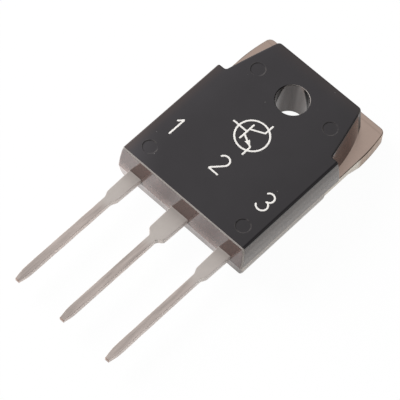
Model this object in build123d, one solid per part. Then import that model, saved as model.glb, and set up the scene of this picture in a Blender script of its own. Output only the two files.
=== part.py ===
from build123d import *
import math
import os

# Power transistor in a three-lead plastic package, in millimetres.
# +X runs across the leads, +Y from the leads to the tab, +Z out of the marked face.
# The origin is on the screw hole's axis, in the plane of the mounting face.

# moulded body: outline at the parting line, and how far the other levels lie inside it
body_half = 7.57
body_end_y = -14.56
body_far_y = 4.02
top_z = 4.5
draft_top = 0.27
draft_bottom = 0.27
belly_upper = ((1.1, 0.025), (2.1, 0.11), (3.0, 0.27))   # height above parting, inset of long sides
belly_lower = ((0.7, 0.03), (1.15, 0.11), (1.5, 0.25))   # the same below it
shoulder_y = -1.6
shoulder_half = 6.72
shoulder_half_top = 6.46
far_half = 5.06
far_half_top = 5.02
flank_bow = 0.34
flank_bow_top = 0.02
foot_corner_r = 0.2
far_corner_r = 0.45
shoulder_r = 0.22
inner_r = 0.3
edge_r = 0.17
lower_far_y = -3.6

# screw hole: straight, with a rounded mouth
hole_r = 1.6
hole_mouth_r = 0.08
lining_r = 2.3

# ejector-pin marks on the marked face: shallow dishes with a sloping rim
pin_r = 0.72
pin_floor_r = 0.64
pin_deep = 0.05
pin_places = ((-5.65, -12.55), (5.65, -12.55), (-4.4, 0.2), (4.4, 0.2))

# heat spreader plate
plate_thick = 1.5
tab_half = 7.48
tab_far_y = 5.08
tab_curve_y = 1.3
tab_corner_x = 7.05
tab_corner_r = 0.6
tab_edge_r = 0.12
pad_half = 6.75
pad_end_y = -11.3
pad_corner_r = 0.4
key_in = 0.35
key_high = 0.7
coin_in = 0.24
coin_high = 0.75
coin_run = 1.3
groove_places = (-2.6, -3.5)
groove_half = 6.2
groove_wide = 0.36
groove_deep = 0.18

# leads: tapering neck, narrow part and pointed end
pitch = 5.45
lead_thick = 0.6
lead_z = 1.45
lead_half = 0.345
lead_run = ((-18.4, 1, 0.03), (-19.6, 1, 0.17), (-27.4, 1, 0.17), (-28.2, 0.94, 0.17), (-28.6, 0.78, 0.14),
            (-28.95, 0.63, 0.11), (-29.2, 0.46, 0.07))   # y, share of the full section, corner radius
neck_end_y = -17.45
neck_taper = 0.07
outer_neck_half = 0.67
outer_step = 0.5
outer_fillet_r = 1.4
middle_neck_half = 0.96
middle_step = 0.4
middle_fillet_r = 0.8
neck_corner_r = 0.15

# inside ends of the leads: bonding posts with an anchor hole, and the middle lead's climb
post_start_y = -13.6
post_end_y = -11.9
post_out = 1.3
post_in = 2.2
post_corner_r = 0.2
anchor_r = 0.35
anchor_out = 0.7
anchor_y = -12.8
joggle_end_y = -12.4
joggle_flat = 0.4

# chip and solder
die_side = 5.0
die_thick = 0.3
die_y = -7.5
solder_thick = 0.08
solder_over = 0.2
solder_corner_r = 0.4

# bond wires: diameter, middle of the foot on the chip, middle of the foot on the post, loop height
wires = {
    "base_wire": (0.25, (-1.6, -9.0), (-4.2, -12.6), 0.9),
    "emitter_wire_1": (0.38, (0.8, -8.4), (3.7, -12.6), 1.1),
    "emitter_wire_2": (0.38, (1.8, -7.2), (4.9, -12.6), 1.4),
}
foot_long = 0.9
foot_wide = 1.3   # times the wire's diameter, and so are the next two
foot_high = 0.7
foot_join = 0.56
wire_rise = 0.9
wire_fall = 1.1
wire_bend_r = 0.6
wire_sides = 8

parting_z = plate_thick
die_top = plate_thick + solder_thick + die_thick
post_top = lead_z + lead_thick
small = 0.01


def corners(face, test):
    """Corners of a flat face whose |x| and y pass the test."""
    return [v for v in face.vertices() if test(abs(v.X), v.Y)]


def body_outline(height, side_inset):
    """Outline of the upper half above the parting line: straight sides, a shoulder, bowed flanks."""
    share = height / (top_z - parting_z)
    inset = share * draft_top
    step_half = shoulder_half + share * (shoulder_half_top - shoulder_half)
    far = far_half + share * (far_half_top - far_half)
    bow = flank_bow + share * (flank_bow_top - flank_bow)
    half = body_half - side_inset
    end_y = body_end_y + inset
    side_y = shoulder_y - inset
    far_y = body_far_y - inset
    chord_x = far - step_half
    chord_y = far_y - side_y
    chord = math.hypot(chord_x, chord_y)
    bow_x = (step_half + far) / 2 + bow * chord_y / chord
    bow_y = (side_y + far_y) / 2 - bow * chord_x / chord
    sides = Polyline((-step_half, side_y), (-half, side_y), (-half, end_y), (half, end_y),
                     (half, side_y), (step_half, side_y))
    right = ThreePointArc((step_half, side_y), (bow_x, bow_y), (far, far_y))
    end = Line((far, far_y), (-far, far_y))
    left = ThreePointArc((-far, far_y), (-bow_x, bow_y), (-step_half, side_y))
    face = make_face(sides + right + end + left)
    face = fillet(corners(face, lambda x, y: y < end_y + small), foot_corner_r)
    face = fillet(corners(face, lambda x, y: y > far_y - small), far_corner_r)
    face = fillet(corners(face, lambda x, y: x > half - small and abs(y - side_y) < small), shoulder_r)
    face = fillet(corners(face, lambda x, y: math.hypot(x - step_half, y - side_y) < small), inner_r)
    return Pos(0, 0, parting_z + height) * face


def upper_half():
    """Drafted upper half with bellied long sides, its marked face rounded off at the edge."""
    sections = [body_outline(height, inset) for height, inset in ((0, 0), *belly_upper)]
    half = loft(sections, ruled=True)
    return fillet(half.faces().sort_by(Axis.Z)[-1].edges(), edge_r)


def lower_half():
    """Lower half beside and behind the die pad, drafted towards the mounting face."""
    sections = []
    for depth, inset in ((0, 0), *belly_lower):
        end_y = body_end_y + draft_bottom * depth / parting_z
        face = Rectangle(2 * (body_half - inset), lower_far_y - end_y)
        face = Pos(0, (lower_far_y + end_y) / 2) * face
        face = fillet(corners(face, lambda x, y: y < end_y + small), foot_corner_r)
        sections.append(Pos(0, 0, parting_z - depth) * face)
    return loft(sections, ruled=True)


def screw_hole():
    """The hole as a turned tool: straight, then the rounded mouth."""
    mouth_start = (hole_r, top_z - hole_mouth_r)
    mouth_end = (hole_r + hole_mouth_r, top_z)
    mouth = TangentArc(mouth_start, mouth_end, tangent=(0, 1))
    rest = Polyline(mouth_end, (0, top_z), (0, 0), (hole_r, 0), mouth_start)
    return revolve(Plane.XZ * make_face(mouth + rest), Axis.Z)


def pin_mark():
    """Tool for one ejector-pin mark: a dish whose rim slopes at about 60 degrees."""
    section = Polyline((0, -pin_deep), (pin_floor_r, -pin_deep), (pin_r, 0), (pin_r, small),
                       (0, small), close=True)
    return revolve(Plane.XZ * make_face(section), Axis.Z)


def plate_outline():
    """Tab with curved sides, necked in to the die pad."""
    side = Polyline((0, pad_end_y), (pad_half, pad_end_y), (pad_half, lower_far_y),
                    (tab_half, lower_far_y), (tab_half, tab_curve_y))
    curve = TangentArc((tab_half, tab_curve_y), (tab_corner_x, tab_far_y), tangent=(0, 1))
    far = Line((tab_corner_x, tab_far_y), (0, tab_far_y))
    right = side + curve + far
    face = make_face(right + mirror(right, Plane.YZ))
    face = fillet(corners(face, lambda x, y: y > tab_far_y - small and x > 1), tab_corner_r)
    face = fillet(corners(face, lambda x, y: abs(x - pad_half) < small and y > pad_end_y + 1), pad_corner_r)
    return fillet(corners(face, lambda x, y: y < pad_end_y + small and x > 1), pad_corner_r)


def key_step(side):
    """Tool for the undercut along one side of the pad, which locks the plastic to the plate."""
    far_y = lower_far_y - pad_corner_r - 0.1
    block = Box(2 * key_in, far_y - pad_end_y, 2 * key_high)
    return Pos(side * pad_half, (pad_end_y + far_y) / 2, 0) * block


def coined_edge(side):
    """Tool for the bevel squeezed into the lower edge of the tab's side; it runs out to nothing."""
    section = Polyline((side * tab_half, 0), (side * (tab_half - coin_in), 0),
                       (side * tab_half, coin_high), close=True)
    full_y = tab_curve_y - coin_run
    section = Plane.XZ.offset(-full_y) * make_face(section)
    run_out = loft([section, Vertex(side * tab_half, tab_curve_y, 0)])
    return extrude(section, full_y - lower_far_y) + run_out


def groove(y):
    """Tool for one V groove across the plate, which stops damp creeping to the chip."""
    section = Polyline((y - groove_wide / 2, plate_thick), (y, plate_thick - groove_deep),
                       (y + groove_wide / 2, plate_thick), close=True)
    return extrude(Plane.YZ.offset(-groove_half) * make_face(section), 2 * groove_half)


def plate():
    """Spreader plate: rounded upper edge round the tab, lined hole, key steps, bevels and grooves."""
    body = extrude(plate_outline(), plate_thick)
    upper = body.edges().group_by(Axis.Z)[-1]
    body = fillet([e for e in upper if e.center().Y > lower_far_y + small], tab_edge_r)
    body -= Cylinder(lining_r, 3 * plate_thick)
    body -= Pos(0, pad_end_y, 0) * Box(2 * pad_half, 2 * key_in, 2 * key_high)
    for side in (-1, 1):
        body -= key_step(side)
        body -= coined_edge(side)
    for y in groove_places:
        body -= groove(y)
    return body


def narrow_run():
    """Narrow part of a lead: a bar whose edges round off, ending in a blunt rounded point."""
    sections = []
    for y, share, corner_r in lead_run:
        place = Pos(0, y, lead_z + lead_thick / 2) * Rot(90, 0, 0)
        sections.append(place * RectangleRounded(2 * lead_half * share, lead_thick * share, corner_r))
    return loft(sections, ruled=True)


def lead(neck_half, step, fillet_r, start_y):
    """One lead on x = 0: flat neck, step down, and the narrow run to the point."""
    run_y = lead_run[0][0]
    side = Polyline((0, start_y), (neck_half, start_y), (neck_half, body_end_y),
                    (neck_half - neck_taper, neck_end_y), (lead_half, neck_end_y - step),
                    (lead_half, run_y), (0, run_y))
    face = make_face(side + mirror(side, Plane.YZ))
    face = fillet(corners(face, lambda x, y: abs(y - neck_end_y + step) < small), fillet_r)
    face = fillet(corners(face, lambda x, y: abs(y - neck_end_y) < small), neck_corner_r)
    return extrude(Pos(0, 0, lead_z) * face, lead_thick) + narrow_run()


def heat_spreader():
    """Plate and middle lead, one stamping: the lead climbs from the pad to the lead plane."""
    under = plate_thick - lead_thick
    inner_y = pad_end_y + key_in
    outer_y = joggle_end_y - joggle_flat
    section = Polyline((inner_y, under), (pad_end_y, under), (joggle_end_y, lead_z), (outer_y, lead_z),
                       (outer_y, post_top), (joggle_end_y, post_top), (pad_end_y, plate_thick),
                       (inner_y, plate_thick), close=True)
    climb = extrude(Plane.YZ.offset(-middle_neck_half) * make_face(section), 2 * middle_neck_half)
    outside = lead(middle_neck_half, middle_step, middle_fillet_r, outer_y + joggle_flat / 2)
    return plate() + climb + outside


def outer_lead(side):
    """Outer lead with its bonding post; side is -1 for the base and +1 for the emitter."""
    wide = post_out + post_in
    deep = post_end_y - post_start_y
    post = Pos(-side * (wide / 2 - post_out), post_start_y + deep / 2) * Rectangle(wide, deep)
    post = extrude(Pos(0, 0, lead_z) * fillet(post.vertices(), post_corner_r), lead_thick)
    outside = lead(outer_neck_half, outer_step, outer_fillet_r, post_start_y + deep / 2)
    whole = outside + post
    whole -= Pos(side * anchor_out, anchor_y, lead_z) * Cylinder(anchor_r, 3 * lead_thick)
    return Pos(side * pitch, 0, 0) * whole


def transistor_die():
    return Pos(0, die_y, die_top - die_thick / 2) * Box(die_side, die_side, die_thick)


def die_solder():
    side = die_side + 2 * solder_over
    face = RectangleRounded(side, side, solder_corner_r)
    return extrude(Pos(0, die_y, plate_thick) * face, solder_thick)


def bond_wire(diameter, chip, post, loop):
    """Flattened foot, loop in an upright plane, and the second foot; the wire is eight-sided."""
    run = math.dist(chip, post)
    turn = math.degrees(math.atan2(post[1] - chip[1], post[0] - chip[0]))
    rise = post_top - die_top
    start_z = foot_join * diameter
    inside = foot_long / 3
    path = FilletPolyline((inside, 0, start_z), (inside + wire_rise, 0, loop),
                          (run - inside - wire_fall, 0, rise + loop),
                          (run - inside, 0, rise + start_z), radius=wire_bend_r)
    section = Plane(origin=path @ 0, z_dir=path % 0) * RegularPolygon(diameter / 2, wire_sides)
    foot = Box(foot_long, foot_wide * diameter, foot_high * diameter)
    foot = Pos(0, 0, foot_high * diameter / 2) * foot
    wire = sweep(section, path) + foot + Pos(run, 0, rise) * foot
    return Pos(chip[0], chip[1], die_top) * Rot(0, 0, turn) * wire


def moulded_body(inside):
    """Epoxy shot: both halves and the hole's lining, less everything that it holds."""
    epoxy = upper_half() + lower_half() + extrude(Circle(lining_r), parting_z)
    epoxy -= screw_hole()
    for x, y in pin_places:
        epoxy -= Pos(x, y, top_z) * pin_mark()
    for piece in inside:
        epoxy -= piece
    return epoxy


nodes = {
    "heat_spreader": heat_spreader(),
    "base_lead": outer_lead(-1),
    "emitter_lead": outer_lead(1),
    "transistor_die": transistor_die(),
    "die_solder": die_solder(),
}
for name, (diameter, chip, post, loop) in wires.items():
    nodes[name] = bond_wire(diameter, chip, post, loop)
nodes["moulded_body"] = moulded_body(list(nodes.values()))

os.makedirs("parts", exist_ok=True)
for name, shape in nodes.items():
    export_step(shape, f"parts/{name}.step")
    print(name, round(shape.volume, 4), len(shape.solids()), shape.is_valid)
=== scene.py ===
import bpy
import math
import numpy as np
from mathutils import Matrix, Vector


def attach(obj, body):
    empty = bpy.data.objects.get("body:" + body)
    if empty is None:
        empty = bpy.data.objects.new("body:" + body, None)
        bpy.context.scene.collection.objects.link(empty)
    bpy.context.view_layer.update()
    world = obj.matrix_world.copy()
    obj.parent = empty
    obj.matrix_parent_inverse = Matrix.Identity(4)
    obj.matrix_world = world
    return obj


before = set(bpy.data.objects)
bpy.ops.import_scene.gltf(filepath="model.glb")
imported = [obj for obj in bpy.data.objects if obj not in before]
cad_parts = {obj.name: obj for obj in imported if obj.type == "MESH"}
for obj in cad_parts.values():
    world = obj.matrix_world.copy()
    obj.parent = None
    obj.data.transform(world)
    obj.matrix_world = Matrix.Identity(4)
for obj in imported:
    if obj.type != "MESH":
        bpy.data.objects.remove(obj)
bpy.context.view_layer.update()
print("frame loaded:", len(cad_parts), "nodes")


# shader maths: a Val is one output socket, and arithmetic on it adds Math nodes
class Val:
    def __init__(self, graph, socket):
        self.graph = graph
        self.socket = socket

    def calc(self, operation, *values):
        return self.graph.node("ShaderNodeMath", {"operation": operation}, dict(enumerate(values)))

    def __add__(self, other):
        return self.calc("ADD", self, other)

    def __radd__(self, other):
        return self.calc("ADD", other, self)

    def __sub__(self, other):
        return self.calc("SUBTRACT", self, other)

    def __rsub__(self, other):
        return self.calc("SUBTRACT", other, self)

    def __mul__(self, other):
        return self.calc("MULTIPLY", self, other)

    def __rmul__(self, other):
        return self.calc("MULTIPLY", other, self)

    def __pow__(self, other):
        return self.calc("POWER", self, other)

    def __neg__(self):
        return self.calc("SUBTRACT", 0, self)

    def __abs__(self):
        return self.calc("ABSOLUTE", self)


# a node tree that starts empty
class Graph:
    def __init__(self, tree):
        self.tree = tree
        self.tree.nodes.clear()

    # any node: type, settings, then socket values or links; hands back one of its outputs, if any
    def node(self, kind, settings={}, values={}, out=0):
        made = self.tree.nodes.new(kind)
        for key, value in settings.items():
            setattr(made, key, value)
        for key, value in values.items():
            if isinstance(value, Val):
                self.tree.links.new(value.socket, made.inputs[key])
            else:
                made.inputs[key].default_value = value
        if made.outputs:
            return Val(self, made.outputs[out])

    def split(self, vector):
        parts = self.node("ShaderNodeSeparateXYZ", {}, {0: vector}).socket.node
        return [Val(self, out) for out in parts.outputs]

    # 0 below low, 1 above high
    def rise(self, value, low, high):
        return self.node("ShaderNodeMapRange", {"interpolation_type": "SMOOTHSTEP"},
                         {"Value": value, "From Min": low, "From Max": high})

    # 1 below low, 0 above high
    def fall(self, value, low, high):
        return 1 - self.rise(value, low, high)

    # 1 on a line of this half width at value 0, falling off smoothly
    def line(self, value, half):
        return self.fall(abs(value), half * 0.3, half)


# a material's node tree; x, y and z are Object coordinates in mm
class Surface(Graph):
    def __init__(self, name):
        self.material = bpy.data.materials.new(name)
        self.material.use_nodes = True
        super().__init__(self.material.node_tree)
        place = self.node("ShaderNodeTexCoord", out="Object")
        self.place = self.node("ShaderNodeMapping", {}, {"Vector": place, "Scale": (1000, 1000, 1000)})
        self.x, self.y, self.z = self.split(self.place)

    # x, y and z of the direction that the surface faces
    def facing(self):
        return self.split(self.node("ShaderNodeNewGeometry", out="Normal"))

    # noise about 0.5; scale is in cells per mm, stretch squeezes it along an axis
    def noise(self, scale, detail=3.0, rough=0.5, stretch=(1, 1, 1), shift=(0, 0, 0)):
        place = self.node("ShaderNodeMapping", {},
                          {"Vector": self.place, "Scale": stretch, "Location": shift})
        return self.node("ShaderNodeTexNoise", {},
                         {"Vector": place, "Scale": scale, "Detail": detail, "Roughness": rough})

    # distance in the XY plane from (x, y) or its mirror image at -x, whichever is nearer
    def pairRadius(self, x, y):
        return ((abs(self.x) - x) ** 2 + (self.y - y) ** 2) ** 0.5

    # first colour where share is 0, second where it is 1
    def mix(self, share, first, second):
        pair = [c if isinstance(c, Val) else (*c, 1) for c in (first, second)]
        return self.node("ShaderNodeMix", {"data_type": "RGBA"}, {0: share, 6: pair[0], 7: pair[1]}, out=2)

    # a colour made lighter or darker by a varying factor
    def tint(self, colour, factor):
        return self.node("ShaderNodeVectorMath", {"operation": "SCALE"}, {0: colour, "Scale": factor})

    def bump(self, height, strength, distance):
        return self.node("ShaderNodeBump", {},
                         {"Height": height, "Strength": strength, "Distance": distance})

    # the Principled shader; its sockets' names are written with _ for a space
    def shader(self, **values):
        sockets = {}
        for key, value in values.items():
            sockets[key.replace("_", " ")] = (*value, 1) if isinstance(value, tuple) else value
        return self.node("ShaderNodeBsdfPrincipled", {}, sockets)

    def finish(self, shader):
        self.node("ShaderNodeOutputMaterial", {}, {"Surface": shader})
        return self.material


def dress(node, material):
    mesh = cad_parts[node].data
    for i in range(len(mesh.materials)):
        mesh.materials[i] = material


# a piece from vertices in mm and faces; its place is in the mesh and it rides the one body
def addPiece(name, points, faces, material, slot):
    mesh = bpy.data.meshes.new(name)
    mesh.from_pydata(np.round(points * 0.001, 9).tolist(), [], faces)
    mesh.polygons.foreach_set("use_smooth", np.ones(len(mesh.polygons), bool))
    mesh.materials.append(material)
    mesh.validate()
    mesh.update()
    piece = bpy.data.objects.new(name, mesh)
    bpy.context.scene.collection.objects.link(piece)
    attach(piece, "root")


# a rounded bar along a path: each ring is (side * w * c, up * h * s) with c, s a superellipse,
# c = sign(cos a) |cos a|^(2 / power); open paths close at a pole at both ends, closed ones wrap
def sweep(path, halfWide, halfHigh, power, around, loop=False):
    count = len(path)
    if loop:
        along = np.roll(path, -1, axis=0) - np.roll(path, 1, axis=0)
    else:
        along = np.gradient(path, axis=0)
    side = np.cross(along, np.array([0.0, 0.0, 1.0]))
    side /= np.linalg.norm(side, axis=1, keepdims=True)
    angle = np.arange(around) * 2 * np.pi / around
    power = np.broadcast_to(power, count)[:, None]
    c = np.sign(np.cos(angle)) * np.abs(np.cos(angle)) ** (2 / power)
    s = np.sign(np.sin(angle)) * np.abs(np.sin(angle)) ** (2 / power)
    wide = np.broadcast_to(halfWide, count)[:, None] * c
    high = np.broadcast_to(halfHigh, count)[:, None] * s
    rings = path[:, None] + side[:, None] * wide[..., None]
    rings[..., 2] += high
    rows = count if loop else count - 1
    i, j = np.meshgrid(np.arange(rows), np.arange(around), indexing="ij")
    nextI = (i + 1) % count
    nextJ = (j + 1) % around
    corners = (i * around + j, i * around + nextJ, nextI * around + nextJ, nextI * around + j)
    faces = np.stack(corners, -1).reshape(-1, 4).tolist()
    points = rings.reshape(-1, 3)
    if not loop:
        points = np.vstack([points, path[0], path[-1]])
        pole = count * around
        last = pole - around
        j = np.arange(around)
        nextJ = (j + 1) % around
        faces += np.stack([j * 0 + pole, nextJ, j], -1).tolist()
        faces += np.stack([j * 0 + pole + 1, last + j, last + nextJ], -1).tolist()
    return points, faces


# several (points, faces) pairs as one
def joinParts(parts):
    starts = np.cumsum([0] + [len(points) for points, faces in parts]).tolist()
    joined = [[k + start for k in face] for part, start in zip(parts, starts) for face in part[1]]
    return np.vstack([points for points, faces in parts]), joined


# moulding compound: matte marked face, polished walls that mirror what stands round them
epoxy = {
    "faceColour": (0.0345, 0.0322, 0.0352),
    "faceEdgeColour": (0.056, 0.043, 0.039),   # along the left and far edges of the face
    "speckColour": (0.50, 0.48, 0.46),
    "flashColour": (0.16, 0.145, 0.135),       # round the pin marks and on the far right corner
    "paintedDarkColour": (0.004, 0.003, 0.005),      # painted dark reflection on the roll-over of the right edge, and painted shade in the hole
    "wallColour": (0.050, 0.034, 0.031),
    "ruddyColour": (0.085, 0.036, 0.030),      # the end by the leads and the slanted right flank
    # painted reflection of the floor on the right side
    "sideReflectionColour": (0.215, 0.190, 0.168),
    # painted reflection on the right side below the parting line
    "belowReflectionColour": (0.80, 0.70, 0.56),
    # painted reflection low on the end
    "frontReflectionColour": (0.31, 0.23, 0.21),
    "footColour": (0.13, 0.085, 0.065),
    # painted reflection in the screw hole
    "boreReflectionColour": (0.60, 0.42, 0.35),
    # painted highlights on the rounded edge over the leads and on the upright corner
    "rimColour": (0.36, 0.33, 0.31),
    "cornerHighlightColour": (0.75, 0.69, 0.62),
    "coatTint": (1.0, 0.955, 0.94),            # the polish is a clear coat
    "coatIor": 1.85,
    "coatRough": 0.10,
    "faceRough": 0.55,
    "wallRough": 0.05,
    "speckShare": 0.35,
    "flashShare": 0.28,
    "marksAt": ((5.65, -12.55), (4.4, 0.2)),   # ejector-pin marks, each with a twin at -x
    "markRadius": 0.70,
    "topAt": 4.4,                # z above which the face is matte
    "partingAt": 1.5,            # z of the line where the two halves of the mould met
    "shoulderAt": -1.6,          # y where the right side turns into the slanted flank
    "rollFrom": 7.0,             # x where the right edge of the face starts to roll over
    "leadsOutAt": ((0.15, 1.1), (-5.3, 0.82)),   # x and half width of what stays dark on the end
    "boreRadius": 1.66,          # the surface nearer to the axis than this is the screw hole's
    "bellFaces": (0.616, -0.788),   # x and y of the direction that the painted reflection in the hole, a bell, faces
}


# where each look sits on the body, as shares from 0 to 1
def bodyPlaces(g, p):
    nx, ny, nz = g.facing()
    radius = p["markRadius"]
    marks = [g.pairRadius(x, y) for x, y in p["marksAt"]]
    dish = sum(g.fall(mark, radius + 0.08, radius + 0.14) for mark in marks)
    # the face is matte, but the roll-over of its right edge has stayed as glossy as the walls
    level = nz + dish - g.rise(nx, 0.06, 0.22) * 0.26
    # past the shoulder the right side is the slanted flank
    beyond = g.rise(g.y, p["shoulderAt"] - 0.1, p["shoulderAt"] + 0.1)
    end = g.rise(-ny, 0.7, 0.9)   # the end by the leads, and the edge over it
    # the rounded edge over the end, where a highlight is painted
    rim = g.rise(-ny, 0.20, 0.45) * g.rise(nz, 0.10, 0.30) * g.fall(nz, 0.90, 0.97)
    farCorner = g.rise(g.y, 2.95, 3.25) * g.rise(nx, 0.1, 0.3)
    # the edges of the face along both ends have lost their polish, and so has the far corner
    dull = g.rise(nz, 0.12, 0.25) * g.rise(abs(ny), 0.08, 0.20)
    bellX, bellY = p["bellFaces"]
    return {
        "matte": g.rise(level, 0.62, 0.72) * g.rise(g.z, p["topAt"], p["topAt"] + 0.02),
        "ring": sum(g.line(mark - radius, 0.09) for mark in marks),
        # painted dark reflection on the roll-over of the right edge, on the face and on the wall under it
        "roll": g.rise(g.x, p["rollFrom"], p["rollFrom"] + 0.1) * g.rise(-g.y, 1.2, 1.7),
        "underRollDarkReflection": g.rise(g.z, 4.25, 4.34) * g.rise(nx, 0.25, 0.45),
        "end": end,
        "toe": end * g.rise(g.x, 4.5, 6.0) * g.fall(g.z, p["partingAt"] - 0.1, p["partingAt"] + 0.2),
        "side": g.rise(nx, 0.7, 0.9) * (1 - beyond),
        "flank": g.rise(nx, 0.4, 0.6) * beyond,
        "farCorner": farCorner,
        # painted highlight on the upright corner by the third lead
        "corner": g.rise(nx * -ny, 0.20, 0.36) * g.rise(-g.y, 14.1, 14.2),
        "rim": rim * g.rise(g.z, 4.2, 4.3) * (1 - dish),
        "dull": dull.calc("MAXIMUM", dull, farCorner),
        "bore": g.fall(g.pairRadius(0, 0), p["boreRadius"] - 0.04, p["boreRadius"] + 0.04),
        # where the painted reflection in the screw hole sits, as a bell, with a brighter lobe
        "bell": g.rise(nx * bellX + ny * bellY - g.rise(g.z, 1.5, 4.5) * 0.38, 0.40, 0.48),
        "lobe": g.rise(nx * bellY - ny * bellX, 0.10, 0.40),
    }


# colour of the marked face
def faceLook(g, at, p, cloud, grain, patch):
    # painted sheen makes the face paler towards its left edge and that corner, and painted shade makes it
    # darker towards the right
    paintedSheen = g.rise(-g.x, 3.5, 7.8) * 0.28 + g.rise(-g.x - g.y, 16.5, 21.5) * 0.6
    right = g.rise(g.x, 1.5, 7.0) * 0.14
    tone = (cloud - 0.5) * 0.30 + 1 + paintedSheen - right + (grain - 0.5) * 0.14
    # and the face is browner along its left and far edges
    brown = g.rise(-g.x, 6.2, 7.3) * 0.6 + g.rise(g.y, 2.2, 4.2) * 0.45
    colour = g.tint(g.mix(brown, p["faceColour"], p["faceEdgeColour"]), tone)
    # thin flash stands round the ejector-pin marks
    flash = at["ring"] * g.rise(patch, 0.36, 0.66) * p["flashShare"]
    colour = g.mix(flash, colour, p["flashColour"])
    speck = g.rise(g.noise(5, 0, 0.4, shift=(7, 3, 1)), 0.90, 0.915) * p["speckShare"]
    colour = g.mix(speck, colour, p["speckColour"])
    # the roll-over of the right edge is painted dark, a painted reflection of the dark side of the room
    return g.mix(at["roll"], colour, p["paintedDarkColour"])


# colour of the walls and of the screw hole
def wallLook(g, at, p, cloud):
    parting = p["partingAt"]
    colour = g.mix(at["end"] + at["flank"], p["wallColour"], p["ruddyColour"])
    colour = g.tint(colour, (cloud - 0.5) * 1.2 + 1)
    # painted reflection: the right side is made paler, fully below the parting line and half as much at the
    # top
    colour = g.mix(at["side"] * (1 - g.rise(g.z, parting + 0.1, 4.4) * 0.5), colour, p["sideReflectionColour"])
    # a painted reflection makes the right side paler below the parting line; a brown edge runs along the
    # bottom
    below = at["side"] * g.rise(-g.y, 1.6, 3.0)
    colour = g.mix(below * g.fall(g.z, parting - 0.05, parting + 0.25) * 0.9, colour, p["belowReflectionColour"])
    colour = g.mix(below * g.fall(g.z, 0.3, 0.6) * 0.8, colour, p["footColour"])
    # a painted reflection makes the end paler low down too, but not where the first two leads come out
    front = at["end"] * g.fall(g.z, 1.4, 2.9) * g.fall(g.x, 3.5, 6.5)
    leadsOut = sum(g.fall(abs(g.x - x), half - 0.1, half + 0.1) for x, half in p["leadsOutAt"])
    colour = g.mix(front * (1 - leadsOut) * 0.9, colour, p["frontReflectionColour"])
    colour = g.mix(at["toe"] * 0.8, colour, p["footColour"])
    # painted dark reflection on the wall under the roll-over
    colour = g.mix(at["underRollDarkReflection"], colour, p["paintedDarkColour"])
    colour = g.mix(at["farCorner"], colour, p["flashColour"])
    # painted shade makes the screw hole black inside, except for a painted reflection in a bell shape that
    # widens downwards
    colour = g.mix(at["bore"] * (1 - at["bell"]), colour, p["paintedDarkColour"])
    return g.mix(at["bore"] * at["bell"] * (at["lobe"] * 0.4 + 0.4), colour, p["boreReflectionColour"])


def epoxyMaterial(p):
    g = Surface("epoxy")
    at = bodyPlaces(g, p)
    cloud = g.noise(0.35, 4, 0.6)
    grain = g.noise(14, 3, 0.6)
    patch = g.noise(2.2, 3, 0.6, shift=(3, 9, 2))
    colour = g.mix(at["matte"], wallLook(g, at, p, cloud), faceLook(g, at, p, cloud, grain, patch))
    # painted highlights: the edge over the leads and the upright corner by the third lead are painted pale
    colour = g.mix(at["rim"] * (patch * 0.4 + 0.8), colour, p["rimColour"])
    colour = g.mix(at["corner"] * 0.6, colour, p["cornerHighlightColour"])
    # inside the screw hole the polish is patchy, and gone beside the bell
    scuff = (g.noise(1.6, 2, 0.5, stretch=(1, 1, 0.1)) - 0.5) * 0.8
    worn = at["bore"] * (1 - at["bell"] * (at["lobe"] * 0.40 + scuff + 0.60))
    polish = (1 - at["matte"]) * (1 - at["rim"] * 0.8) * (1 - at["corner"] * 0.9) * (1 - at["dull"])
    polish = polish * (1 - worn) * (1 - at["side"] * 0.35) * (1 - at["toe"] * 0.6)
    polish = polish * (1 - at["end"] * g.rise(g.x, 4.6, 7.2) * 0.25)
    matteExtra = p["faceRough"] - p["wallRough"] + (cloud - 0.5) * 0.12
    rough = at["matte"] * matteExtra + p["wallRough"] + at["dull"] * 0.4
    height = grain * at["matte"] + g.noise(1.6, 2) * 0.3
    return g.finish(g.shader(Base_Color=colour, Roughness=rough, Coat_Weight=polish,
                             Coat_IOR=p["coatIor"], Coat_Roughness=p["coatRough"],
                             Coat_Tint=p["coatTint"], Specular_Tint=p["coatTint"],
                             Specular_IOR_Level=0.4, Normal=g.bump(height, 0.22, 0.000012)))


dress("moulded_body", epoxyMaterial(epoxy))
print("moulding compound done")

# spreader: dull plating with a copper cast; sheared sides show copper, the squeezed ones are burnished and
# carry a painted highlight
plated = {
    "colour": (0.57, 0.44, 0.375),
    "tinColour": (0.58, 0.53, 0.495),          # its lead, outside the body
    "stampColour": (0.20, 0.14, 0.11),
    "shearColour": (0.60, 0.45, 0.35),
    # burnished, and painted bright as a highlight
    "squeezedHighlightColour": (0.97, 0.88, 0.76),
    "footColour": (0.30, 0.20, 0.15),
    # painted shade on the rolled upper edge
    "rolledShadeColour": (0.05, 0.035, 0.03),
    "rough": 0.33,
    "curveAt": 1.3,              # y where the sheared sides take over from the squeezed ones
    "stampAt": 4.55,             # y of the stamping line
}


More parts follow.
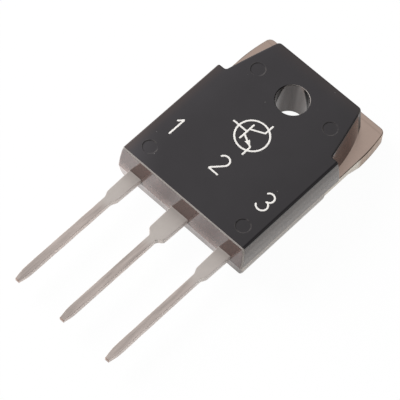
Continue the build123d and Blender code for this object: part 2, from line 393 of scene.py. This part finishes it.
def platedMaterial(p):
    g = Surface("platedSpreader")
    nz = g.facing()[2]
    side = g.fall(abs(nz), 0.55, 0.80)
    outside = g.rise(-g.y, 14.2, 14.5)
    cloud = g.noise(0.5, 5, 0.6)
    fine = g.noise(9, 3, 0.55, stretch=(1, 0.25, 1))
    shear = g.noise(4, 4, 0.6, stretch=(1, 1, 0.12))
    flat = g.tint(p["colour"], (cloud - 0.5) * 0.22 + (fine - 0.5) * 0.06 + 1)
    # a stamping line runs just inside the far edge
    flat = g.mix(g.line(g.y - p["stampAt"], 0.12) * 0.15, flat, p["stampColour"])
    squeezed = g.fall(g.y, p["curveAt"] - 0.4, p["curveAt"] + 0.3)
    edge = g.mix(squeezed, p["shearColour"], p["squeezedHighlightColour"])
    edge = g.tint(edge, (shear - 0.5) * (0.9 - squeezed * 0.5) + 1)
    edge = g.mix(g.fall(g.z, 0.05, 0.25) * 0.75, edge, p["footColour"])
    colour = g.mix(side, flat, edge)
    # painted shade: the rolled upper edge is darker than both faces that meet there, most of all round the
    # curve
    rolled = g.rise(nz, 0.12, 0.35) * g.fall(nz, 0.90, 0.985)
    deepest = g.rise(g.y, 0.9, 1.4) * g.fall(g.y, 2.6, 3.4)
    colour = g.mix(rolled * (deepest * 0.5 + 0.3), colour, p["rolledShadeColour"])
    colour = g.mix(outside, colour, p["tinColour"])
    rough = (cloud - 0.5) * 0.16 + p["rough"] - side * squeezed * 0.10
    metal = 1 - outside * 0.5 - side * squeezed * (1 - outside) * 0.25
    height = fine * (1 - side) * 0.4 + shear * side
    return g.finish(g.shader(Base_Color=colour, Metallic=metal, Roughness=rough,
                             Normal=g.bump(height, 0.3, 0.00001)))


dress("heat_spreader", platedMaterial(plated))
print("spreader done")

# solder dip: streaks run along the leads where they were drawn out of the bath
tinned = {
    "colour": (0.58, 0.53, 0.495),
    "drawnColour": (0.59, 0.51, 0.47),   # on the narrow part
    "coreColour": (0.50, 0.34, 0.28),    # copper at the cut tips
    "rough": 0.40,
    "metal": 0.5,
    "tipAt": -29.17,                     # y of the cut tips
}


def tinnedMaterial(name, p):
    g = Surface(name)
    nx = g.facing()[0]
    streak = g.noise(2.2, 2, 0.5, stretch=(1.2, 0.09, 1.2))
    cloud = g.noise(0.8, 4, 0.6)
    fine = g.noise(12, 2, 0.5)
    narrow = g.rise(-g.y, 18.0, 19.5)
    # painted light: the sides are made brighter to lift their shade, and the narrow part of the third lead
    # is a little lighter
    edge = g.rise(abs(nx), 0.10, 0.25)
    tone = (cloud - 0.5) * 0.16 + (streak - 0.5) * (narrow * 0.9 + 0.12) - narrow * 0.16 + 1
    tone = tone + edge * 0.38 + g.rise(g.x, 3, 5) * narrow * 0.08
    colour = g.tint(g.mix(narrow, p["colour"], p["drawnColour"]), tone)
    cut = g.rise(-g.y, -p["tipAt"], 0.05 - p["tipAt"])
    colour = g.mix(cut * 0.7, colour, p["coreColour"])
    rough = (streak - 0.5) * 0.25 + p["rough"]
    height = streak * narrow + fine * 0.05 + cloud * 0.3
    return g.finish(g.shader(Base_Color=colour, Metallic=p["metal"], Roughness=rough,
                             Normal=g.bump(height * (1 - edge), 0.25, 0.00002)))


tin = tinnedMaterial("tinnedLead", tinned)
dress("base_lead", tin)
dress("emitter_lead", tin)

# solder coat outside the body: a skin over each lead, rounder on the narrow part
coat = {
    "pitch": 5.45,
    "skin": 0.035,
    "middle": 1.75,                   # z of the leads' middle
    "outerNeck": (0.67, 0.60, 0.5),   # half width at the body, at the step, and the step's length
    "middleNeck": (0.96, 0.89, 0.4),
    "startAt": -14.3,                 # y, just inside the body
    "neckAt": -14.56,                 # y where the neck starts to narrow, and where it ends
    "neckEnd": -17.45,
    "half": 0.345,                    # half width of the narrow part
    "halfThick": 0.3,
    "point": ((27.4, 1.0), (28.2, 0.95), (28.6, 0.81), (28.95, 0.66), (29.2, 0.49)),   # -y, share
    "power": (30, 20),                # squareness of the neck and of the narrow part
    "roundFrom": 18.45,               # -y where the edges start to round off, and over what length
    "roundOver": 1.3,
    "ripple": 0.006,                  # how uneven the solder is on the narrow part
    "wallAt": -14.51,                 # y of the body's end, where the solder climbs
    "lip": 0.012,
    "lipLength": 0.06,
    "stations": 420,
    "around": 56,
}


# running mean with the weights exp(-(k / reach)^2 / 2)
def smooth(values, reach):
    kernel = np.exp(-0.5 * (np.arange(-3 * reach, 3 * reach + 1) / reach) ** 2)
    padded = np.pad(values, 3 * reach, mode="edge")
    return np.convolve(padded, kernel / kernel.sum(), mode="valid")


# half width follows the lead's outline, softened; near the wall the solder climbs by
# lip * exp(-((y - wall) / lipLength)^2)
def coatLead(x, neck, p, seed):
    pointY, pointShare = np.array(p["point"]).T
    y = np.linspace(p["startAt"], -pointY[-1] - p["skin"], p["stations"])
    stepEnd = p["neckEnd"] - neck[2]
    share = smooth(np.interp(-y, pointY, pointShare), 5)
    steps = [-p["neckAt"], -p["neckEnd"], -stepEnd]
    wide = np.interp(-y, steps, [neck[0], neck[1], p["half"]]) * share
    thick = p["halfThick"] * share
    rng = np.random.default_rng(seed)
    ripple = smooth(rng.normal(0, 1, len(y)), 14)
    ripple *= p["ripple"] / ripple.std()
    onNarrow = np.clip((stepEnd - y) / 1.0, 0, 1)
    lip = p["lip"] * np.exp(-((y - p["wallAt"]) / p["lipLength"]) ** 2)
    wide = smooth(wide, 3) + p["skin"] + ripple * onNarrow + lip
    thick = thick + p["skin"] + np.roll(ripple, 60) * onNarrow + lip
    square, rounder = p["power"]
    turn = np.clip((-y - p["roundFrom"]) / p["roundOver"], 0, 1)
    power = square + (rounder - square) * turn * turn * (3 - 2 * turn)
    path = np.stack([x + 0 * y, y, p["middle"] + 0 * y], -1)
    return sweep(path, wide, thick, power, p["around"])


for name, x, neck, seed in (("baseCoat", -coat["pitch"], coat["outerNeck"], 3),
                            ("collectorCoat", 0.0, coat["middleNeck"], 5),
                            ("emitterCoat", coat["pitch"], coat["outerNeck"], 8)):
    points, faces = coatLead(x, neck, coat, seed)
    addPiece(name, points, faces, tin, "tinned_lead")
print("leads done")

# marking ink on the top face: pin numbers above the leads and a plain transistor symbol
ink = {
    "colour": (0.84, 0.815, 0.78),
    "thinColour": (0.16, 0.14, 0.13),
    "faceAt": 4.5,               # z of the marked face
    "high": 0.009,               # how far the ink stands proud
    "half": 0.09,                # half width of a stroke
    "arrowHalf": 0.27,
    "numbersAt": -9.4,           # y of the numbers' middle
    "numberHigh": 2.0,
    "symbolAt": (0.0, -5.3),
    "symbolRadius": 1.6,
}


def inkMaterial(p):
    g = Surface("markingInk")
    patch = g.noise(5, 4, 0.65)
    thin = g.rise(patch, 0.62, 0.78)
    colour = g.mix(thin * 0.45, p["colour"], p["thinColour"])
    return g.finish(g.shader(Base_Color=colour, Roughness=patch * 0.2 + 0.5,
                             Normal=g.bump(g.noise(18, 2), 0.3, 0.00001)))


# a flat stroke through corner points; at distance s from either end its half width is
# half * sqrt(1 - (1 - s / half)^2), a round end, and an arrow head has half * (1 - s / length)
def inkStroke(points, p, half=None, taper=False, loop=False):
    corners = np.array(points, float)
    if loop:
        path = corners
        wide = np.full(len(path), p["half"])
    else:
        step = np.r_[0, np.cumsum(np.linalg.norm(np.diff(corners, axis=0), axis=1))]
        travel = step[-1]
        half = half or p["half"]
        # stations crowd at the ends, where the width closes
        ends = half * (1 - np.cos(np.linspace(0.12, np.pi / 2, 8)))
        s = np.r_[ends, np.linspace(half, travel - half, 40)[1:-1], travel - ends[::-1]]
        path = np.stack([np.interp(s, step, corners[:, k]) for k in (0, 1)], -1)
        inset = np.clip(np.minimum(s, travel - s) / half, 0, 1)
        wide = half * np.sqrt(1 - (1 - inset) ** 2)
        if taper:
            wide = half * np.clip(1 - s / travel, 0.02, 1)
    path = np.column_stack([path, np.full(len(path), p["faceAt"])])
    return sweep(path, wide, p["high"], 2.0, 12, loop)


# points at centre + radius * (cos a, squash * sin a)
def arc(cx, cy, radius, start, end, count=40, squash=1.0):
    a = np.radians(np.linspace(start, end, count))
    return np.stack([cx + radius * np.cos(a), cy + radius * squash * np.sin(a)], -1)


# the stroke of a digit on a cell one unit high and 0.6 wide, from its lower left corner
def glyph(digit):
    if digit == 1:
        return np.array([[0.12, 0.74], [0.34, 1.0], [0.34, 0.0]])
    if digit == 2:
        return np.vstack([arc(0.3, 0.72, 0.27, 165, -35), [[0.03, 0.0], [0.60, 0.0]]])
    upper = arc(0.28, 0.755, 0.24, 160, -90)
    lower = arc(0.28, 0.265, 0.28, 90, -160, squash=0.95)
    return np.vstack([upper, lower])


inkLook = inkMaterial(ink)
strokes = []
high = ink["numberHigh"]
for digit in (1, 2, 3):
    middle = (digit - 2) * coat["pitch"]
    corner = np.array([middle - 0.3 * high, ink["numbersAt"] - 0.5 * high])
    strokes.append(inkStroke(corner + glyph(digit) * high, ink))
addPiece("pinNumbers", *joinParts(strokes), inkLook, "moulding_compound")

# a circle with a base line, a bar, a collector and an emitter in it, in units of its radius
cx, cy = ink["symbolAt"]
r = ink["symbolRadius"]
strokes = [inkStroke(arc(cx, cy, r, 0, 357.5, 144), ink, loop=True)]
for path in ([(-1.45, 0), (-0.42, 0)], [(-0.4, -0.62), (-0.4, 0.62)],
             [(-0.38, 0.22), (0.42, 0.62), (0.42, 1.3)],
             [(-0.38, -0.22), (0.42, -0.62), (0.42, -1.3)]):
    strokes.append(inkStroke([(cx + r * u, cy + r * v) for u, v in path], ink))
head = [(cx + r * 0.01, cy - r * 0.415), (cx + r * 0.40, cy - r * 0.61)]   # on the emitter
strokes.append(inkStroke(head, ink, half=ink["arrowHalf"], taper=True))
addPiece("transistorSymbol", *joinParts(strokes), inkLook, "moulding_compound")
print("marking done")

# inside pieces, seen only when the body is hidden
inner = {
    "silicon": ((0.10, 0.11, 0.14), 0.9, 0.12),   # colour, metallic, roughness
    "solder": ((0.50, 0.50, 0.50), 1.0, 0.38),
    "wire": ((0.80, 0.80, 0.81), 1.0, 0.22),
}


def innerMaterial(name, look, scale):
    colour, metal, rough = look
    g = Surface(name)
    cloud = g.noise(scale, 4, 0.6)
    fine = g.noise(scale * 6, 2)
    return g.finish(g.shader(Base_Color=g.tint(colour, (cloud - 0.5) * 0.3 + 1), Metallic=metal,
                             Roughness=(fine - 0.5) * 0.1 + rough,
                             Normal=g.bump(fine, 0.2, 0.00001)))


dress("transistor_die", innerMaterial("silicon", inner["silicon"], 1.5))
dress("die_solder", innerMaterial("solder", inner["solder"], 3.0))
wireLook = innerMaterial("bondWire", inner["wire"], 4.0)
for node in ("base_wire", "emitter_wire_1", "emitter_wire_2"):
    dress(node, wireLook)
print("inside done")

# the room and the camera, with lengths in metres
stage = {
    "floorHalf": 0.4,
    "floorColour": (0.95, 0.95, 0.95),
    "whiteSeen": 0.97,       # share of plain white in what the camera sees of the floor
    "whiteMirrored": 0.50,   # the same in mirrored views of it
    "skyAxis": (-0.45, 0.30, 0.84),    # towards the brightest part
    "skyLevels": (0.04, 0.36, 0.70),   # dark side, all round, brightest part
    "lampAt": (-0.45, -0.07, 0.26),
    "lampAim": (0, -0.012, 0),
    "lampSize": 0.30,
    "lampPower": 4.3,
}
view = {
    "azimuth": 38.36,        # degrees
    "elevation": 60.37,
    "roll": 5.88,
    "aim": (0.000334, -0.012232, 0.002),
    "distance": 0.24586,
    "lens": 249.8,           # mm, for a frame 36 mm wide
}


def makeFloor(p):
    half = p["floorHalf"]
    corners = [(-half, -half, 0), (half, -half, 0), (half, half, 0), (-half, half, 0)]
    mesh = bpy.data.meshes.new("floor")
    mesh.from_pydata(corners, [], [(0, 1, 2, 3)])
    floor = bpy.data.objects.new("floor", mesh)
    bpy.context.scene.collection.objects.link(floor)
    g = Surface("floorPaper")
    paper = g.shader(Base_Color=p["floorColour"], Roughness=0.9, Specular_IOR_Level=0.0)
    seen = g.node("ShaderNodeLightPath", out="Is Camera Ray")
    mirrored = g.node("ShaderNodeLightPath", out="Is Glossy Ray")
    white = g.node("ShaderNodeEmission", {}, {"Color": (1, 1, 1, 1), "Strength": 1.0})
    share = seen * p["whiteSeen"] + mirrored * p["whiteMirrored"]
    mesh.materials.append(g.finish(g.node("ShaderNodeMixShader", {}, {0: share, 1: paper, 2: white})))


# a soft room: brightest overhead to the left, dark low on the right
def makeWorld(p):
    world = bpy.data.worlds.new("studio")
    world.use_nodes = True
    g = Graph(world.node_tree)
    direction = g.node("ShaderNodeTexCoord", out="Generated")
    along = g.node("ShaderNodeVectorMath", {"operation": "DOT_PRODUCT"},
                   {0: direction, 1: Vector(p["skyAxis"]).normalized()}, out="Value")
    dark, middle, bright = p["skyLevels"]
    level = (g.rise(along, 0.15, 0.60) * (middle - dark)
             + g.rise(along, 0.60, 1.0) * (bright - middle) + dark)
    seen = g.node("ShaderNodeLightPath", out="Is Camera Ray")
    sky = g.node("ShaderNodeBackground", {}, {"Color": (1, 1, 1, 1), "Strength": seen + (1 - seen) * level})
    g.node("ShaderNodeOutputWorld", {}, {"Surface": sky})
    bpy.context.scene.world = world


def makeLamp(p):
    data = bpy.data.lights.new("softbox", "AREA")
    data.size = p["lampSize"]
    data.energy = p["lampPower"]
    lamp = bpy.data.objects.new("softbox", data)
    bpy.context.scene.collection.objects.link(lamp)
    lamp.location = p["lampAt"]
    lamp.visible_glossy = False   # no hard highlights on the rounded edges
    shines = Vector(p["lampAim"]) - Vector(p["lampAt"])
    lamp.rotation_euler = shines.to_track_quat("-Z", "Y").to_euler()


def makeCamera(p):
    a, e, roll = (math.radians(p[k]) for k in ("azimuth", "elevation", "roll"))
    forward = Vector((-math.sin(a) * math.cos(e), math.cos(a) * math.cos(e), -math.sin(e)))
    level = forward.cross(Vector((0, 0, 1))).normalized()
    right = level * math.cos(roll) + level.cross(forward) * math.sin(roll)
    turn = Matrix((right, right.cross(forward), -forward)).transposed().to_4x4()
    camera = bpy.data.objects.new("camera", bpy.data.cameras.new("camera"))
    bpy.context.scene.collection.objects.link(camera)
    camera.matrix_world = Matrix.Translation(Vector(p["aim"]) - forward * p["distance"]) @ turn
    camera.data.lens = p["lens"]
    camera.data.sensor_width = 36
    camera.data.clip_start = 0.01
    camera.data.clip_end = 10
    bpy.context.scene.camera = camera


makeFloor(stage)
makeWorld(stage)
makeLamp(stage)
makeCamera(view)
bpy.context.scene.view_settings.view_transform = "Standard"
print("stage done")
